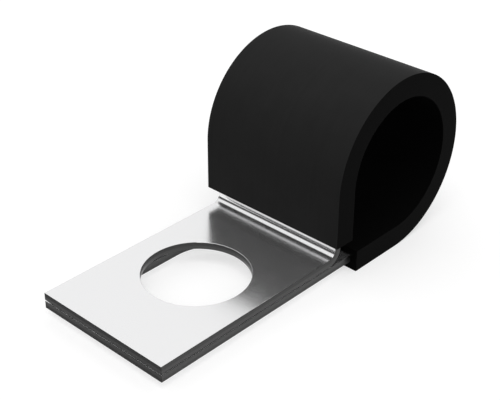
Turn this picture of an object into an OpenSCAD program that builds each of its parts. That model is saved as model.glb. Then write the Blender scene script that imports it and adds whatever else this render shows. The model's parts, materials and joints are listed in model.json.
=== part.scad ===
// P clip: one strip of sheet steel, bent round a cable or pipe, in a rubber sleeve.
//
// The cable bore's axis is the Y axis and its centre is the origin. The strip starts as the tongue's
// lower leaf at -X, runs under the bore, round it by three quarters of a turn, down the -X side and out
// again, through a right-angled bend, as the upper leaf. One screw through both leaves closes the clip.

/* [Steel band] */
// Width of the band, along the cable
band_w = 20; // [18:0.5:40]
// Thickness of the band
band_t = 1; // [0.6:0.1:1.5]
// Gap between the two leaves of the tongue
leaf_gap = 0.15; // [0.05:0.05:0.5]
// Inside radius of the right-angled bend
bend_r = 1; // [0.5:0.25:2.5]

/* [Rubber sleeve] */
// Diameter of the cable bore, inside the sleeve
bore_d = 18; // [14:0.5:50]
// Rubber on each face of the band
sleeve_wall = 1; // [0.5:0.1:3]
// Rubber past each edge of the band
sleeve_edge = 1; // [0.5:0.1:3]
// Clearance between the band and the channel in the sleeve
sleeve_play = 0.05; // [0.02:0.01:0.2]
// Radius along the sleeve's edges
edge_r = 0.1; // [0.05:0.05:0.5]
// Bare upright band between the bend and the sleeve's upper end
upper_bare = 1; // [0.25:0.25:2]
// Step from the bore's -X flank to the sleeve's lower end
lower_step = 1.05; // [0.5:0.05:3]

/* [Fixing] */
// Diameter of the screw hole in the upper leaf, and width of the slot under it
hole_d = 13.5; // [5:0.5:15]
// Length of the slot in the lower leaf, from end to end
slot_l = 20; // [15.5:0.5:24]
// From the screw hole's centre to the tongue's free end
hole_to_end = 15.15; // [12.5:0.05:40]
// From the screw hole's centre to the sleeve's outer flank
hole_to_sleeve = 13.1; // [12.5:0.05:30]

/* [Hidden] */

$fn = 128;
// How far a cutting tool passes the face that it cuts
over = 1;

STEEL = [0.80, 0.81, 0.82];
RUBBER = [0.07, 0.07, 0.075];

// The loop runs from straight down to the -X side
loop_start = -90;
loop_end = 180;

bore_r = bore_d / 2;
band_in_r = bore_r + sleeve_wall;
band_out_r = band_in_r + band_t;
mid_r = (band_in_r + band_out_r) / 2;
sleeve_r = band_out_r + sleeve_wall;

// Along X: the screw hole and the tongue's free end
hole_x = -(sleeve_r + hole_to_sleeve);
tongue_x = hole_x - hole_to_end;

// Up Z: the leaves and the axis of the bend between the upper leaf and the upright
lower_top = -band_in_r;
upper_bottom = lower_top + leaf_gap;
upper_top = upper_bottom + band_t;
bend_x = -(band_out_r + bend_r);
bend_z = upper_top + bend_r;

// The section of the strip: X across its thickness, Y across its width
module band_section() {
    square([band_t, band_w], center = true);
}

module rounded_rectangle(size, r) {
    square([size.x, size.y - 2 * r], center = true);
    square([size.x - 2 * r, size.y], center = true);
    for (x = [-1, 1], y = [-1, 1])
        translate([x * (size.x / 2 - r), y * (size.y / 2 - r)]) circle(r);
}

// The section of the sleeve: a flat rubber tube with a channel for the band
module sleeve_section() {
    difference() {
        rounded_rectangle([band_t + 2 * sleeve_wall, band_w + 2 * sleeve_edge], edge_r);
        square([band_t + 2 * sleeve_play, band_w + 2 * sleeve_play], center = true);
    }
}

// Carries a section round the bore's axis, and straight on at both ends of the arc:
// by lower_run towards -X from below the bore, and by upright_run down from the -X side
module round_the_bore(lower_run, upright_run) {
    rotate([90, 0, 0]) {
        rotate([0, 0, loop_start]) {
            rotate_extrude(angle = loop_end - loop_start) translate([mid_r, 0]) children();
            translate([mid_r, 0, 0]) rotate([90, 0, 0]) linear_extrude(lower_run) children();
        }
        rotate([0, 0, loop_end]) translate([mid_r, 0, 0])
            rotate([-90, 0, 0]) linear_extrude(upright_run) children();
    }
}

// The right-angled bend from the upright down into the upper leaf
module bend() {
    translate([bend_x, 0, bend_z]) rotate([90, 0, 0]) rotate([0, 0, -90])
        rotate_extrude(angle = 90) translate([bend_r + band_t / 2, 0]) band_section();
}

module upper_leaf() {
    translate([tongue_x, -band_w / 2, upper_bottom]) cube([bend_x - tongue_x, band_w, band_t]);
}

module screw_hole() {
    translate([hole_x, 0, upper_bottom - leaf_gap / 2])
        cylinder(d = hole_d, h = leaf_gap / 2 + band_t + over);
}

module slot() {
    half_run = (slot_l - hole_d) / 2;
    translate([hole_x, 0, lower_top - band_t - over]) {
        for (side = [-1, 1])
            translate([side * half_run, 0, 0]) cylinder(d = hole_d, h = over + band_t + leaf_gap / 2);
        translate([-half_run, -hole_d / 2, 0]) cube([2 * half_run, hole_d, over + band_t + leaf_gap / 2]);
    }
}

module steel_band() {
    color(STEEL) difference() {
        union() {
            round_the_bore(-tongue_x, -bend_z) band_section();
            bend();
            upper_leaf();
        }
        screw_hole();
        slot();
    }
}

module rubber_sleeve() {
    color(RUBBER) round_the_bore(bore_r - lower_step, -(bend_z + upper_bare)) sleeve_section();
}

steel_band();
rubber_sleeve();
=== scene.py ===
"""A cushioned P clip: a bright zinc-plated steel band in a black rubber sleeve, on a plain studio floor."""

import json
import math

import bmesh
import bpy
from bpy.props import FloatProperty, FloatVectorProperty, PointerProperty
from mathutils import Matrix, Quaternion, Vector


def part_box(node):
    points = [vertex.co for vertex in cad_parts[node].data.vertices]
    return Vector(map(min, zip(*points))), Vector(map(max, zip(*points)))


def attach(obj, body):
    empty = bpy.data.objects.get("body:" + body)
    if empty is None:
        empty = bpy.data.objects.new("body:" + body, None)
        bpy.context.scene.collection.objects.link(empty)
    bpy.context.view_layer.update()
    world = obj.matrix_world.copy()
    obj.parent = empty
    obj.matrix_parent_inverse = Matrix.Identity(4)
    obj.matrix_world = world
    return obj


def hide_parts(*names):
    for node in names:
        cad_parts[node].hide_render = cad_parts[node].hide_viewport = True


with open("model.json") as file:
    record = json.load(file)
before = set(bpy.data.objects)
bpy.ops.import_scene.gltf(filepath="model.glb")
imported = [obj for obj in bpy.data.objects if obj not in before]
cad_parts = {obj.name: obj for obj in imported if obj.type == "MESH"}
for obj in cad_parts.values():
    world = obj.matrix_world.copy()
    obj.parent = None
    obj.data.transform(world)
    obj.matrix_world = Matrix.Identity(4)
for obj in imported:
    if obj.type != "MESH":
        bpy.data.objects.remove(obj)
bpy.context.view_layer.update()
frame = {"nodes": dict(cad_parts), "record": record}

bl_info = {
    "name": "P clip",
    "version": (1, 0, 0),
    "blender": (4, 5, 0),
    "location": "3D View > Sidebar > P clip",
    "description": "Dresses a cushioned P clip: its plated steel band, its rubber sleeve and a studio stage",
    "category": "Object",
}

MM = 0.001
# How near two lengths lie when they mean the same place
SAME = 0.01 * MM
QUARTER = math.pi / 2
WHITE = (1.0, 1.0, 1.0, 1.0)
BLACK = (0.0, 0.0, 0.0, 1.0)

# ---------------------------------------------------------------------------------------------------------
# Sizes, from the frame
# ---------------------------------------------------------------------------------------------------------

MOUNTS = {mount["name"]: mount for mount in frame["record"]["mounts"]}
BAND_LOW, BAND_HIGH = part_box("steel_band")
SLEEVE_LOW, SLEEVE_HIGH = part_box("rubber_sleeve")

BORE_R = MOUNTS["cable_bore"]["dims"]["r_mm"] * MM
HOLE_R = MOUNTS["screw_hole"]["dims"]["r_mm"] * MM
HOLE_X = MOUNTS["screw_hole"]["pos_m"][0]
BAND_T = MOUNTS["screw_hole"]["dims"]["length_mm"] * MM
BAND_W = BAND_HIGH.y - BAND_LOW.y
SLEEVE_W = SLEEVE_HIGH.y - SLEEVE_LOW.y
SLEEVE_T = SLEEVE_HIGH.x - BORE_R
TONGUE_X = BAND_LOW.x
LOOP_R = BAND_HIGH.x - BAND_T / 2

# Heights of the two leaves' middles
LOWER_Z = BAND_LOW.z + BAND_T / 2
UPPER_Z = MOUNTS["tongue_face"]["pos_m"][2] - BAND_T / 2


def corners(node, test):
    """The corners of a CAD node's mesh that pass a test."""
    return [vertex.co for vertex in frame["nodes"][node].data.vertices if test(vertex.co)]


def on_upper_face(co):
    return abs(co.z - (UPPER_Z + BAND_T / 2)) < SAME and co.x < -LOOP_R


def on_slot_rim(co):
    inside = abs(co.y) < HOLE_R + SAME and TONGUE_X + SAME < co.x < HOLE_X
    return inside and abs(co.z - BAND_LOW.z) < SAME


# The upper leaf's flat face ends over the bend's centre
BEND_X = max(co.x for co in corners("steel_band", on_upper_face))
BEND_R = -LOOP_R - BEND_X
BEND_Z = UPPER_Z + BEND_R
SLOT_L = 2 * (HOLE_X - min(co.x for co in corners("steel_band", on_slot_rim)))
# The sleeve's square-cut ends: one below the bore, one beside it
SLEEVE_END_X = min(co.x for co in corners("rubber_sleeve", lambda co: co.z < -BORE_R + SAME))
SLEEVE_END_Z = min(co.z for co in corners("rubber_sleeve", lambda co: co.x < -BORE_R + SAME))

LOWER_RUN = -TONGUE_X
LOOP_RUN = 3 * QUARTER * LOOP_R
UPRIGHT_RUN = -BEND_Z
BEND_RUN = QUARTER * BEND_R


def along_strip(co):
    """Distance of a point along the strip from the lower leaf's free end, and its height above the strip's
    middle, counted positive on the outside of the loop."""
    if co.x >= 0 or co.z >= 0:
        turned = math.atan2(co.z, co.x) + QUARTER
        return LOWER_RUN + LOOP_R * (turned % math.tau), math.hypot(co.x, co.z) - LOOP_R
    if co.z < (LOWER_Z + UPPER_Z) / 2 or co.z < co.x:
        return co.x - TONGUE_X, LOWER_Z - co.z
    if co.z >= BEND_Z:
        return LOWER_RUN + LOOP_RUN - co.z, -LOOP_R - co.x
    bend_start = LOWER_RUN + LOOP_RUN + UPRIGHT_RUN
    if co.x > BEND_X:
        right, down = co.x - BEND_X, BEND_Z - co.z
        return bend_start + BEND_R * math.atan2(down, right), BEND_R - math.hypot(right, down)
    return bend_start + BEND_RUN + BEND_X - co.x, co.z - UPPER_Z


# ---------------------------------------------------------------------------------------------------------
# Node trees
# ---------------------------------------------------------------------------------------------------------


class Wire:
    """A socket that takes part in sums: each operator adds a Math node and gives its result."""

    def __init__(self, plan, socket):
        self.plan = plan
        self.socket = socket

    def maths(self, operation, *terms):
        return self.plan.add("ShaderNodeMath", {"operation": operation}, dict(enumerate(terms))).out()

    def __add__(self, other):
        return self.maths("ADD", self, other)

    def __sub__(self, other):
        return self.maths("SUBTRACT", self, other)

    def __rsub__(self, other):
        return self.maths("SUBTRACT", other, self)

    def __mul__(self, other):
        return self.maths("MULTIPLY", self, other)

    def __rmul__(self, other):
        return self.maths("MULTIPLY", other, self)

    def __neg__(self):
        return self.maths("MULTIPLY", self, -1.0)

    def cos(self):
        return self.maths("COSINE", self)

    def sin(self):
        return self.maths("SINE", self)

    def greatest(self, other):
        return self.maths("MAXIMUM", self, other)

    def step(self, low, high):
        """0 below low, 1 above high, and a smooth rise between them."""
        settings = {"interpolation_type": "SMOOTHSTEP"}
        return self.plan.add("ShaderNodeMapRange", settings, {0: self, 1: low, 2: high}).out()

    def spread(self, low, high):
        """Takes a value between 0 and 1 to one between low and high."""
        return self.plan.add("ShaderNodeMapRange", {"clamp": False}, {0: self, 3: low, 4: high}).out()


class Made:
    """A node that was just added; its outputs come as wires, by name or number."""

    def __init__(self, plan, node):
        self.plan = plan
        self.node = node

    def feed(self, sockets):
        """Gives inputs, by name or number, their links or values."""
        for key, value in sockets.items():
            if isinstance(value, Wire):
                self.plan.tree.links.new(value.socket, self.node.inputs[key])
            else:
                self.node.inputs[key].default_value = value

    def out(self, key=0):
        return Wire(self.plan, self.node.outputs[key])


class Plan:
    """A node tree while it is being drawn up."""

    def __init__(self, tree):
        self.tree = tree

    def add(self, kind, settings=None, sockets=None):
        """Adds a node of a kind, sets its settings first, then the values or links of its inputs."""
        made = Made(self, self.tree.nodes.new(kind))
        for name, value in (settings or {}).items():
            setattr(made.node, name, value)
        made.feed(sockets or {})
        return made

    def join(self, x, y, z):
        return self.add("ShaderNodeCombineXYZ", None, {0: x, 1: y, 2: z}).out()

    def split(self, vector):
        parts = self.add("ShaderNodeSeparateXYZ", None, {0: vector})
        return parts.out(0), parts.out(1), parts.out(2)

    def mix(self, factor, first, second):
        """Mixes two colours."""
        return self.add("ShaderNodeMix", {"data_type": "RGBA"}, {0: factor, 6: first, 7: second}).out(2)

    def noise(self, place, scale, detail, roughness):
        sockets = {"Vector": place, "Scale": scale, "Detail": detail, "Roughness": roughness}
        return self.add("ShaderNodeTexNoise", None, sockets).out("Fac")

    def stored(self, name):
        """The number that the mesh carries under a name."""
        return self.add("ShaderNodeAttribute", {"attribute_name": name}).out("Fac")

    def bump(self, strength, distance, height):
        sockets = {"Strength": strength, "Distance": distance, "Height": height}
        return self.add("ShaderNodeBump", None, sockets).out()


def start_tree(name, lengths):
    """A geometry tree with an input for each named length and one for a material. Returns its plan, and a
    function that gives an input by name."""
    plan = Plan(bpy.data.node_groups.new(name, "GeometryNodeTree"))
    inputs = plan.tree.interface
    for label, length in lengths.items():
        socket = inputs.new_socket(name=label, in_out="INPUT", socket_type="NodeSocketFloat")
        socket.subtype = "DISTANCE"
        socket.default_value = length
    inputs.new_socket(name="Material", in_out="INPUT", socket_type="NodeSocketMaterial")
    return plan, plan.add("NodeGroupInput").out


# ---------------------------------------------------------------------------------------------------------
# Shapes that follow the strip
# ---------------------------------------------------------------------------------------------------------

# How many steps the rounds are drawn in: loop, bend, a full turn of a punched opening, a section's corner
LOOP_STEPS = 160
BEND_STEPS = 28
ROUND_STEPS = 192
CORNER_STEPS = 4
# Rounding along the long edges
BAND_EDGE_R = 0.08 * MM
SLEEVE_EDGE_R = 0.06 * MM
# Height of a punch, in thicknesses of the strip
PUNCH_DEPTH = 1.1
# Share of its half width to which the slot's outline is rounded; a whole share would leave points on points
FULL_ROUND = 0.9999
# How far the channel's tool stands out of the sleeve's ends
CHANNEL_PAST = 1.0 * MM
# Corners nearer than MERGE become one, faces that meet flatter than FLAT become one, and edges sharper than
# SHARP are broken
MERGE = 0.0005 * MM
FLAT = math.radians(0.05)
SHARP = math.radians(60.0)
# How much the large faces count when normals are evened out, out of 100
FACE_WEIGHT = 80


def straight(steps, length, right, up):
    """A straight leg of a path: how many steps it takes, its length and its direction."""
    return lambda share: (length * share * right, length * share * up), steps


def turn(steps, radius, first, last):
    """A round leg of a path, from one angle to another, both counted from +X towards +Z."""

    def travel(share):
        angle = share * (last - first) + first
        return radius * (angle.cos() - math.cos(first)), radius * (angle.sin() - math.sin(first))

    return travel, steps


def path_curve(plan, start_x, start_z, legs):
    """A curve in the X-Z plane, made of legs that follow on from each other."""
    total = sum(steps for _, steps in legs)
    line = plan.add("GeometryNodeCurvePrimitiveLine").out()
    points = plan.add("GeometryNodeResampleCurve", None, {"Curve": line, "Count": total + 1}).out()
    index = plan.add("GeometryNodeInputIndex").out()
    x, z, first = start_x, start_z, 0
    for travel, steps in legs:
        share = plan.add("ShaderNodeMapRange", None, {0: index, 1: first, 2: first + steps}).out()
        right, up = travel(share)
        x, z = x + right, z + up
        first += steps
    sockets = {"Geometry": points, "Position": plan.join(x, 0.0, z)}
    placed = plan.add("GeometryNodeSetPosition", None, sockets).out()
    sockets = {"Curve": placed, "Normal": (0.0, 1.0, 0.0)}
    return plan.add("GeometryNodeSetCurveNormal", {"mode": "FREE"}, sockets).out()


def oblong(plan, length, width, radius, steps):
    """A rectangle with rounded corners, centred, with its length along X."""
    flat = plan.add("GeometryNodeCurvePrimitiveQuadrilateral", None, {"Width": length, "Height": width}).out()
    sockets = {"Curve": flat, "Count": steps, "Radius": radius, "Limit Radius": False}
    return plan.add("GeometryNodeFilletCurve", {"mode": "POLY"}, sockets).out()


def sweep(plan, path, section):
    sockets = {"Curve": path, "Profile Curve": section, "Fill Caps": True}
    return plan.add("GeometryNodeCurveToMesh", None, sockets).out()


def punch(plan, outline, place, depth):
    """A solid with a flat outline and its middle at a place in the tongue."""
    ends = {"Start": plan.join(0.0, 0.0, depth * -0.5), "End": plan.join(0.0, 0.0, depth * 0.5)}
    stem = plan.add("GeometryNodeCurvePrimitiveLine", None, ends).out()
    solid = sweep(plan, stem, outline)
    return plan.add("GeometryNodeTransform", None, {"Geometry": solid, "Translation": place}).out()


def cut_away(plan, solid, *tools):
    node = plan.add("GeometryNodeMeshBoolean", {"operation": "DIFFERENCE", "solver": "EXACT"}, {0: solid})
    for tool in tools:
        node.feed({1: tool})
    return node.out()


def end_tree(plan, geometry, material):
    """Ends a tree as one real mesh with its material."""
    real = plan.add("GeometryNodeRealizeInstances", None, {"Geometry": geometry}).out()
    smooth = plan.add("GeometryNodeSetShadeSmooth", None, {"Geometry": real}).out()
    done = plan.add("GeometryNodeSetMaterial", None, {"Geometry": smooth, "Material": material}).out()
    plan.tree.interface.new_socket(name="Geometry", in_out="OUTPUT", socket_type="NodeSocketGeometry")
    plan.add("NodeGroupOutput", None, {0: done})


def loop_legs(loop_r, lower_run, upright_run):
    """The legs that strip and sleeve share: in below the bore, three quarters round it, down beside it."""
    return [
        straight(1, lower_run, 1.0, 0.0),
        turn(LOOP_STEPS, loop_r, -QUARTER, 2 * QUARTER),
        straight(1, upright_run, 0.0, -1.0),
    ]


def band_tree():
    """The steel strip: its section swept along the whole path, then the hole and the slot punched."""
    plan, given = start_tree("Steel band", {
        "Loop radius": LOOP_R,
        "Lower run": LOWER_RUN,
        "Upright run": UPRIGHT_RUN,
        "Bend radius": BEND_R,
        "Upper run": BEND_X - TONGUE_X,
        "Width": BAND_W,
        "Thickness": BAND_T,
        "Edge radius": BAND_EDGE_R,
        "Hole radius": HOLE_R,
        "Slot length": SLOT_L,
        "Hole place": HOLE_X,
    })
    loop_r, lower_run = given("Loop radius"), given("Lower run")
    upright, bend_r = given("Upright run"), given("Bend radius")
    hole_r, hole_x = given("Hole radius"), given("Hole place")
    thickness = given("Thickness")
    legs = loop_legs(loop_r, lower_run, upright) + [
        turn(BEND_STEPS, bend_r, 0.0, -QUARTER),
        straight(1, given("Upper run"), -1.0, 0.0),
    ]
    path = path_curve(plan, -lower_run, -loop_r, legs)
    section = oblong(plan, given("Width"), thickness, given("Edge radius"), CORNER_STEPS)
    strip = sweep(plan, path, section)
    depth = thickness * PUNCH_DEPTH
    ring = plan.add("GeometryNodeCurvePrimitiveCircle", None, {"Resolution": ROUND_STEPS, "Radius": hole_r})
    hole = punch(plan, ring.out(), plan.join(hole_x, 0.0, -upright - bend_r), depth)
    outline = oblong(plan, given("Slot length"), 2.0 * hole_r, hole_r * FULL_ROUND, ROUND_STEPS // 4)
    slot = punch(plan, outline, plan.join(hole_x, 0.0, -loop_r), depth)
    end_tree(plan, cut_away(plan, strip, hole, slot), given("Material"))
    return plan.tree


def sleeve_tree():
    """The rubber sleeve: its section swept round the bore, less the channel that the strip runs in."""
    plan, given = start_tree("Rubber sleeve", {
        "Loop radius": LOOP_R,
        "Lower run": -SLEEVE_END_X,
        "Upright run": -SLEEVE_END_Z,
        "Width": SLEEVE_W,
        "Thickness": SLEEVE_T,
        "Edge radius": SLEEVE_EDGE_R,
        "Channel width": BAND_W,
        "Channel thickness": BAND_T,
    })
    loop_r, lower_run, upright = given("Loop radius"), given("Lower run"), given("Upright run")

    def way_round(past):
        legs = loop_legs(loop_r, lower_run + past, upright + past)
        return path_curve(plan, -(lower_run + past), -loop_r, legs)

    section = oblong(plan, given("Width"), given("Thickness"), given("Edge radius"), CORNER_STEPS)
    outside = sweep(plan, way_round(0.0), section)
    sockets = {"Width": given("Channel width"), "Height": given("Channel thickness")}
    hollow = plan.add("GeometryNodeCurvePrimitiveQuadrilateral", None, sockets).out()
    channel = sweep(plan, way_round(CHANNEL_PAST), hollow)
    end_tree(plan, cut_away(plan, outside, channel), given("Material"))
    return plan.tree


def grow(name, tree, material, edge_radius):
    """Runs a geometry tree with a material and an edge radius, and keeps the result as a plain mesh."""
    seed = bpy.data.objects.new(name + "_seed", bpy.data.meshes.new(name + "_seed"))
    bpy.context.scene.collection.objects.link(seed)
    modifier = seed.modifiers.new("Shape", "NODES")
    modifier.node_group = tree
    wanted = {"Material": material, "Edge radius": edge_radius}
    for item in tree.interface.items_tree:
        if item.name in wanted:
            modifier[item.identifier] = wanted[item.name]
    bpy.context.view_layer.update()
    piece = plain_copy(seed, name)
    bpy.data.objects.remove(seed)
    return piece


def plain_copy(source, name):
    """A new object with the evaluated mesh of another, and no modifiers."""
    evaluated = source.evaluated_get(bpy.context.evaluated_depsgraph_get())
    mesh = bpy.data.meshes.new_from_object(evaluated)
    mesh.name = name
    piece = bpy.data.objects.new(name, mesh)
    bpy.context.scene.collection.objects.link(piece)
    return piece


def soften_edges(piece, width, steps):
    """Breaks the sharp edges that are left, keeps flat faces flat to the eye, and makes the mesh plain."""
    bm = bmesh.new()
    bm.from_mesh(piece.data)
    bmesh.ops.remove_doubles(bm, verts=bm.verts, dist=MERGE)
    bmesh.ops.dissolve_limit(bm, angle_limit=FLAT, verts=bm.verts, edges=bm.edges)
    bmesh.ops.recalc_face_normals(bm, faces=bm.faces)
    bm.to_mesh(piece.data)
    bm.free()
    bevel = piece.modifiers.new("Broken edges", "BEVEL")
    bevel.width = width
    bevel.segments = steps
    bevel.limit_method = "ANGLE"
    bevel.angle_limit = SHARP
    weighted = piece.modifiers.new("Flat faces", "WEIGHTED_NORMAL")
    weighted.mode = "FACE_AREA"
    weighted.weight = FACE_WEIGHT
    finished = plain_copy(piece, piece.name)
    name = piece.name
    bpy.data.objects.remove(piece)
    finished.name = name
    finished.data.name = name
    return finished


def store_strip_places(piece):
    """Gives a mesh a UV map of distance along the strip and across it, and its height in the strip."""
    mesh = piece.data
    layer = mesh.uv_layers.new(name="strip")
    height = mesh.attributes.new("height", "FLOAT", "POINT")
    places = [along_strip(vertex.co) for vertex in mesh.vertices]
    for vertex, (_, level) in zip(mesh.vertices, places):
        height.data[vertex.index].value = level
    for loop in mesh.loops:
        layer.data[loop.index].uv = (places[loop.vertex_index][0], mesh.vertices[loop.vertex_index].co.y)


def mark_faces(piece, name, test):
    """Gives each face a mark of 1 where a test on its centre and normal holds, else 0."""
    mark = piece.data.attributes.new(name, "FLOAT", "FACE")
    for face in piece.data.polygons:
        mark.data[face.index].value = 1.0 if test(face.center, face.normal) else 0.0


# ---------------------------------------------------------------------------------------------------------
# Finishes
# ---------------------------------------------------------------------------------------------------------

# Share of the light on it that the floor gives back where it is seen, below its glow
FLOOR_LIT = 0.5


def new_material(name):
    """A material with an empty node tree, and the plan of that tree."""
    material = bpy.data.materials.new(name)
    material.use_nodes = True
    material.node_tree.nodes.clear()
    return material, Plan(material.node_tree)


def new_finish(name):
    """A material with an empty Principled shader; returns it, its plan and the shader."""
    material, plan = new_material(name)
    shader = plan.add("ShaderNodeBsdfPrincipled")
    plan.add("ShaderNodeOutputMaterial", None, {"Surface": shader.out()})
    return material, plan, shader


def scaled(colour, share):
    """A colour times a number, with full alpha."""
    return [channel * share for channel in colour[:3]] + [1.0]


def shades(colour, swing):
    """The darkest and the lightest shade of a colour, each a share away from it."""
    return scaled(colour, 1.0 - swing), scaled(colour, 1.0 + swing)


def strip_places(plan):
    """A point's place in space, along the strip, across it, and its height in it."""
    place = plan.add("ShaderNodeTexCoord").out("Object")
    _, across, _ = plan.split(place)
    along, _, _ = plan.split(plan.add("ShaderNodeUVMap", {"uv_map": "strip"}).out())
    return place, along, across, plan.stored("height")


def zinc_plate(settings):
    """Bright zinc on rolled strip, with duller bare steel where the strip was sheared and punched; that
    steel's near-black colour is painted shade, darkest on the strip's two ends.
    """
    material, plan, shader = new_finish("zinc_plate")
    place, along, across, height = strip_places(plan)
    cut, end = plan.stored("cut"), plan.stored("end")

    # Rolling lines run along the strip; the plating clouds a little over a few millimetres
    lines = plan.join(along * 60.0, across * 5000.0, 0.0)
    grain = plan.noise(lines, scale=1.0, detail=3.0, roughness=0.6)
    cloud = plan.noise(place, scale=420.0, detail=3.0, roughness=0.55)
    fine = plan.noise(place, scale=9000.0, detail=2.0, roughness=0.6)
    tone = cloud.spread(-0.02, 0.02) + grain.spread(-0.015, 0.015) + 0.5
    colour = plan.mix(tone, *shades(settings.colour, 0.1))
    rough = grain.spread(-0.02, 0.02) + cloud.spread(-0.03, 0.03) + settings.roughness

    # A sheared edge is scored where the blade went in and torn below; its near-black colour is painted shade,
    # and the strip's two ends are painted darker still
    torn = height.step(-0.1 * MM, 0.05 * MM)
    scores = plan.join(along * 9000.0, across * 9000.0, height * 600.0)
    score = plan.noise(scores, scale=1.0, detail=2.0, roughness=0.5)
    speck = plan.noise(place, scale=7000.0, detail=3.0, roughness=0.7)
    edge_tone = score.spread(-0.25, 0.25) * (1.0 - torn) + speck.spread(-0.5, 0.5) * torn + 0.5
    shaded_edge_colour = plan.mix(edge_tone, *shades(settings.shaded_edge_colour, 0.4))
    shaded_edge_colour = plan.mix(end * 0.6, shaded_edge_colour, BLACK)
    edge_rough = torn.spread(0.32, 0.55)

    relief = (grain * 0.05 + fine * 0.03) * (1.0 - cut) + (score * (1.0 - torn) + speck * torn) * cut
    shader.feed({
        "Base Color": plan.mix(cut, colour, shaded_edge_colour),
        "Roughness": rough + cut * (edge_rough - rough),
        "Metallic": 0.92,
        "Normal": plan.bump(strength=0.35, distance=0.004 * MM, height=relief),
    })
    return material


def black_rubber(name, settings, tint, sheen):
    """Smooth black rubber with faint lines along the section and duller, rougher cut ends."""
    material, plan, shader = new_finish(name)
    place, along, across, height = strip_places(plan)
    cut = plan.stored("cut")
    drawn = plan.join(along * 40.0, across * 2500.0, height * 2500.0)
    lines = plan.noise(drawn, scale=1.0, detail=3.0, roughness=0.55)
    cloud = plan.noise(place, scale=260.0, detail=3.0, roughness=0.6)
    grain = plan.noise(place, scale=6000.0, detail=3.0, roughness=0.6)
    tone = lines.spread(-0.15, 0.15) + cloud.spread(-0.2, 0.2) + 0.5
    relief = lines * 0.5 + grain * 0.5 + cut * grain
    shader.feed({
        "Base Color": plan.mix(tone, *shades(tint, 0.3)),
        "Roughness": lines.spread(-0.04, 0.04) + cloud.spread(-0.05, 0.05) + settings.roughness + cut * 0.15,
        "Specular IOR Level": sheen,
        "Normal": plan.bump(strength=0.3, distance=0.01 * MM, height=relief),
    })
    return material


def studio_white(settings):
    """A pale matt floor that shows white to the camera and in reflections, and keeps its shadows."""
    material, plan = new_material("studio_floor")
    place = plan.add("ShaderNodeTexCoord").out("Object")
    speck = plan.noise(place, scale=900.0, detail=2.0, roughness=0.5)
    paint = plan.mix(speck, scaled(settings.floor_colour, 0.995), scaled(settings.floor_colour, 1.0))
    matt = plan.add("ShaderNodeBsdfDiffuse", None, {"Color": paint}).out()
    lit = plan.add("ShaderNodeBsdfDiffuse", None, {"Color": scaled(WHITE, FLOOR_LIT)}).out()
    glow = plan.add("ShaderNodeEmission", None, {"Strength": settings.floor_glow}).out()
    shown = plan.add("ShaderNodeAddShader", None, {0: lit, 1: glow}).out()
    rays = plan.add("ShaderNodeLightPath")
    seen = rays.out("Is Camera Ray").greatest(rays.out("Is Glossy Ray"))
    seen = seen.greatest(rays.out("Is Transmission Ray"))
    surface = plan.add("ShaderNodeMixShader", None, {0: seen, 1: matt, 2: shown}).out()
    plan.add("ShaderNodeOutputMaterial", None, {"Surface": surface})
    return material


# ---------------------------------------------------------------------------------------------------------
# Settings
# ---------------------------------------------------------------------------------------------------------


class BandSettings(bpy.types.PropertyGroup):
    """Sizes and finish of the steel band."""

    edge_radius: FloatProperty(
        name="Edge radius", description="Rounding along the strip's long edges",
        default=BAND_EDGE_R, min=0.01 * MM, max=0.3 * MM, precision=5, unit="LENGTH")
    rim_radius: FloatProperty(
        name="Rim radius", description="Rounding of the punched rims and the cut ends",
        default=0.05 * MM, min=0.01 * MM, max=0.3 * MM, precision=5, unit="LENGTH")
    colour: FloatVectorProperty(
        name="Plating", description="Colour of the bright zinc",
        default=(0.88, 0.88, 0.885), min=0.0, max=1.0, subtype="COLOR")
    # Painted shade: bare sheared steel is only duller than the zinc, and this near-black colour stands in for
    # shade on the side faces, the ends and the hole walls
    shaded_edge_colour: FloatVectorProperty(
        name="Sheared steel", description="Colour of the bare steel on cut edges and in the holes",
        default=(0.07, 0.07, 0.07), min=0.0, max=1.0, subtype="COLOR")
    roughness: FloatProperty(
        name="Roughness", description="Roughness of the bright zinc",
        default=0.18, min=0.02, max=1.0, subtype="FACTOR")


class SleeveSettings(bpy.types.PropertyGroup):
    """Sizes and finish of the rubber sleeve."""

    edge_radius: FloatProperty(
        name="Edge radius", description="Rounding along the sleeve's long edges",
        default=SLEEVE_EDGE_R, min=0.02 * MM, max=0.9 * MM, precision=5, unit="LENGTH")
    end_radius: FloatProperty(
        name="End radius", description="Rounding at the square-cut ends",
        default=0.05 * MM, min=0.01 * MM, max=0.3 * MM, precision=5, unit="LENGTH")
    # Painted shade: the rubber on the ends, the sides and the inside is far darker than the outer skin, as if
    # those faces lay in shadow
    colour: FloatVectorProperty(
        name="Rubber", description="Colour of the rubber on its cut ends, sides and inside",
        default=(0.003, 0.003, 0.003), min=0.0, max=1.0, subtype="COLOR")
    # The outer skin's grey is the rubber's own colour, not weathering; the difference from the darker ends,
    # sides and inside is painted shade
    skin_colour: FloatVectorProperty(
        name="Outer skin", description="Colour of the outer skin, which weathers a little greyer",
        default=(0.021, 0.021, 0.021), min=0.0, max=1.0, subtype="COLOR")
    roughness: FloatProperty(
        name="Roughness", description="Roughness of the rubber",
        default=0.5, min=0.05, max=1.0, subtype="FACTOR")
    body_sheen: FloatProperty(
        name="Body sheen", description="How strongly the ends, the sides and the inside reflect straight on",
        default=0.01, min=0.0, max=1.0, subtype="FACTOR")
    skin_sheen: FloatProperty(
        name="Skin sheen", description="How strongly the outer skin reflects straight on",
        default=0.015, min=0.0, max=1.0, subtype="FACTOR")


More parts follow.
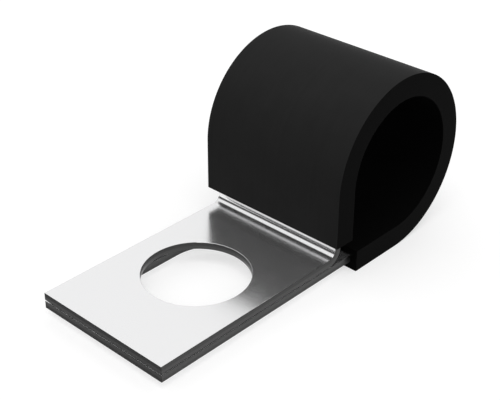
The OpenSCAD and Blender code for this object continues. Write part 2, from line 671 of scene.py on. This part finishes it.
class StageSettings(bpy.types.PropertyGroup):
    """Floor, light and camera."""

    floor_colour: FloatVectorProperty(
        name="Floor", description="Colour of the matt floor",
        default=(0.3, 0.3, 0.3), min=0.0, max=1.0, subtype="COLOR")
    floor_glow: FloatProperty(
        name="Floor glow", description="How much the floor is lifted to white where it is seen",
        default=0.55, min=0.0, max=1.0)
    dome: FloatProperty(
        name="Dome", description="Brightness of the soft light overhead", default=0.97, min=0.0, max=3.0)
    walls: FloatProperty(
        name="Walls", description="Brightness of the studio's pale walls", default=0.6, min=0.0, max=3.0)
    dark_side: FloatProperty(
        name="Dark side", description="Brightness of the studio's one dark side",
        default=0.02, min=0.0, max=3.0)
    key: FloatProperty(
        name="Key", description="Power of the large soft lamp", default=1.2, min=0.0, max=50.0)
    azimuth: FloatProperty(
        name="Azimuth", description="Camera's bearing: 0 looks along +Y, and 90 along -X",
        default=math.radians(-47.03), subtype="ANGLE")
    elevation: FloatProperty(
        name="Elevation", description="Camera's height above the horizon",
        default=math.radians(30.88), subtype="ANGLE")
    roll: FloatProperty(
        name="Roll", description="Camera's turn about its line of sight",
        default=math.radians(0.2625), subtype="ANGLE")
    distance: FloatProperty(
        name="Distance", description="From the camera to the point that it aims at",
        default=142.5 * MM, min=0.01, unit="LENGTH")
    lens: FloatProperty(name="Lens", description="Focal length", default=83.6, min=10.0, unit="CAMERA")


# ---------------------------------------------------------------------------------------------------------
# Operators
# ---------------------------------------------------------------------------------------------------------

# Cosines from which a face counts as one that looks along an axis: the strip's ends, its sides, and the
# sleeve's ends
STRIP_END_FACING = 0.6
SIDE_FACING = 0.5
SLEEVE_END_FACING = 0.7
# Segments of the broken edges
BAND_RIM_STEPS = 3
SLEEVE_END_STEPS = 2

FLOOR_HALF = 2.5
KEY_SIZE = 0.5
KEY_PLACE = Vector((-0.2, -0.12, 0.75))
# The studio's one dark side: its bearing, counted from +X towards +Y, and the cosines over which it sets in
DARK_SIDE = math.radians(144.0)
DARK_FROM, DARK_FULL = 0.3, 0.7
# Angles above the horizon over which the walls give way to the sky, and below it to the ground
SKY_FROM, SKY_FULL = math.radians(20.0), math.radians(27.0)
GROUND_FROM, GROUND_FULL = 0.0, math.radians(-1.0)
# The point that the camera aims at
AIM = Vector((-15.656, 0.02, -2.745)) * MM


def is_strip_end(centre, normal):
    """Whether a face of the band lies on one of the strip's two ends."""
    return centre.x < TONGUE_X + 5 * SAME and abs(normal.x) > STRIP_END_FACING


def is_sheared(centre, normal):
    """Whether a face of the band was cut by a blade or a punch."""
    in_hole = abs(centre.x - HOLE_X) < SLOT_L and abs(normal.z) < SIDE_FACING and centre.x < BEND_X
    return abs(normal.y) > SIDE_FACING or in_hole or is_strip_end(centre, normal)


class CLIP_OT_band(bpy.types.Operator):
    """Make the steel band, punched and bent, with its plated finish"""

    bl_idname = "clip.band"
    bl_label = "Make the steel band"

    def execute(self, context):
        settings = context.scene.clip_band
        piece = grow("band", band_tree(), zinc_plate(settings), settings.edge_radius)
        piece = soften_edges(piece, settings.rim_radius, BAND_RIM_STEPS)
        store_strip_places(piece)
        mark_faces(piece, "cut", is_sheared)
        mark_faces(piece, "end", is_strip_end)
        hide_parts("steel_band")
        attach(piece, "root")
        return {"FINISHED"}


def is_skin(centre):
    """Whether a face with this centre lies on the outside of the loop."""
    return along_strip(centre)[1] > SLEEVE_T / 2 - 2 * SAME


def is_cut_end(centre, normal):
    """Whether a face lies on one of the sleeve's two ends."""
    lower = centre.z < 0 and abs(centre.x - SLEEVE_END_X) < SAME and abs(normal.x) > SLEEVE_END_FACING
    upper = centre.x < 0 and abs(centre.z - SLEEVE_END_Z) < SAME and abs(normal.z) > SLEEVE_END_FACING
    return lower or upper


class CLIP_OT_sleeve(bpy.types.Operator):
    """Make the rubber sleeve round the loop"""

    bl_idname = "clip.sleeve"
    bl_label = "Make the rubber sleeve"

    def execute(self, context):
        settings = context.scene.clip_sleeve
        # Two copies of one rubber: the outer skin in its own colour, and the ends, sides and inside
        # near-black as painted shade
        body = black_rubber("rubber_body", settings, settings.colour, settings.body_sheen)
        skin = black_rubber("rubber_skin", settings, settings.skin_colour, settings.skin_sheen)
        piece = grow("sleeve", sleeve_tree(), body, settings.edge_radius)
        piece = soften_edges(piece, settings.end_radius, SLEEVE_END_STEPS)
        store_strip_places(piece)
        piece.data.materials.clear()
        for finish in (body, skin):
            piece.data.materials.append(finish)
        for face in piece.data.polygons:
            face.material_index = int(is_skin(face.center))
        mark_faces(piece, "cut", is_cut_end)
        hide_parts("rubber_sleeve")
        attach(piece, "root")
        return {"FINISHED"}


class CLIP_OT_stage(bpy.types.Operator):
    """Make the floor, the soft light and the camera"""

    bl_idname = "clip.stage"
    bl_label = "Make the stage"

    def execute(self, context):
        settings = context.scene.clip_stage
        self.make_floor(context, settings)
        self.make_light(context, settings)
        self.make_camera(context, settings)
        context.scene.view_settings.view_transform = "Standard"
        return {"FINISHED"}

    def make_floor(self, context, settings):
        level = SLEEVE_LOW.z - SAME
        square = [(x * FLOOR_HALF, y * FLOOR_HALF, level) for x, y in ((-1, -1), (1, -1), (1, 1), (-1, 1))]
        mesh = bpy.data.meshes.new("floor")
        mesh.from_pydata(square, [], [(0, 1, 2, 3)])
        mesh.materials.append(studio_white(settings))
        floor = bpy.data.objects.new("floor", mesh)
        context.scene.collection.objects.link(floor)

    def make_light(self, context, settings):
        world = bpy.data.worlds.new("studio")
        world.use_nodes = True
        world.node_tree.nodes.clear()
        context.scene.world = world
        plan = Plan(world.node_tree)
        right, back, up = plan.split(plan.add("ShaderNodeTexCoord").out("Generated"))
        # Pale walls, with one dark side that draws the dark lines in the bend
        towards_dark = right * math.cos(DARK_SIDE) + back * math.sin(DARK_SIDE)
        walls = towards_dark.step(DARK_FROM, DARK_FULL).spread(settings.walls, settings.dark_side)
        sky = up.step(math.sin(SKY_FROM), math.sin(SKY_FULL))
        ground = up.step(math.sin(GROUND_FROM), math.sin(GROUND_FULL))
        strength = walls + sky * (settings.dome - walls) + ground * (1.0 - walls)
        # The camera itself sees plain white behind the floor's edge
        strength = strength.greatest(plan.add("ShaderNodeLightPath").out("Is Camera Ray"))
        glow = plan.add("ShaderNodeBackground", None, {"Color": WHITE, "Strength": strength}).out()
        plan.add("ShaderNodeOutputWorld", None, {"Surface": glow})

        lamp = bpy.data.lights.new("key", "AREA")
        lamp.shape = "DISK"
        lamp.size = KEY_SIZE
        lamp.energy = settings.key
        key = bpy.data.objects.new("key", lamp)
        key.location = KEY_PLACE
        key.rotation_euler = (-KEY_PLACE).to_track_quat("-Z", "Y").to_euler()
        context.scene.collection.objects.link(key)

    def make_camera(self, context, settings):
        data = bpy.data.cameras.new("camera")
        data.lens = settings.lens
        data.clip_start = 0.005
        data.clip_end = 20.0
        camera = bpy.data.objects.new("camera", data)
        level = math.cos(settings.elevation)
        back = Vector((
            math.sin(settings.azimuth) * level,
            -math.cos(settings.azimuth) * level,
            math.sin(settings.elevation)))
        camera.location = AIM + back * settings.distance
        turned = (-back).to_track_quat("-Z", "Y") @ Quaternion((0.0, 0.0, 1.0), settings.roll)
        camera.rotation_euler = turned.to_euler()
        context.scene.collection.objects.link(camera)
        context.scene.camera = camera


class CLIP_PT_panel(bpy.types.Panel):
    """Lists the clip's operators and settings"""

    bl_idname = "CLIP_PT_panel"
    bl_label = "P clip"
    bl_space_type = "VIEW_3D"
    bl_region_type = "UI"
    bl_category = "P clip"

    def draw(self, context):
        layout = self.layout
        for operator, name in STEPS:
            layout.operator(operator.bl_idname)
            settings = getattr(context.scene, name)
            for key in settings.__annotations__:
                layout.prop(settings, key)


SETTINGS = {"clip_band": BandSettings, "clip_sleeve": SleeveSettings, "clip_stage": StageSettings}
STEPS = ((CLIP_OT_band, "clip_band"), (CLIP_OT_sleeve, "clip_sleeve"), (CLIP_OT_stage, "clip_stage"))
CLASSES = (*SETTINGS.values(), *(operator for operator, _ in STEPS), CLIP_PT_panel)


def register():
    for cls in CLASSES:
        bpy.utils.register_class(cls)
    for name, cls in SETTINGS.items():
        setattr(bpy.types.Scene, name, PointerProperty(type=cls))


def unregister():
    for name in SETTINGS:
        delattr(bpy.types.Scene, name)
    for cls in reversed(CLASSES):
        bpy.utils.unregister_class(cls)


def main():
    register()
    bpy.ops.clip.band()
    bpy.ops.clip.sleeve()
    bpy.ops.clip.stage()


if __name__ == "__main__":
    main()
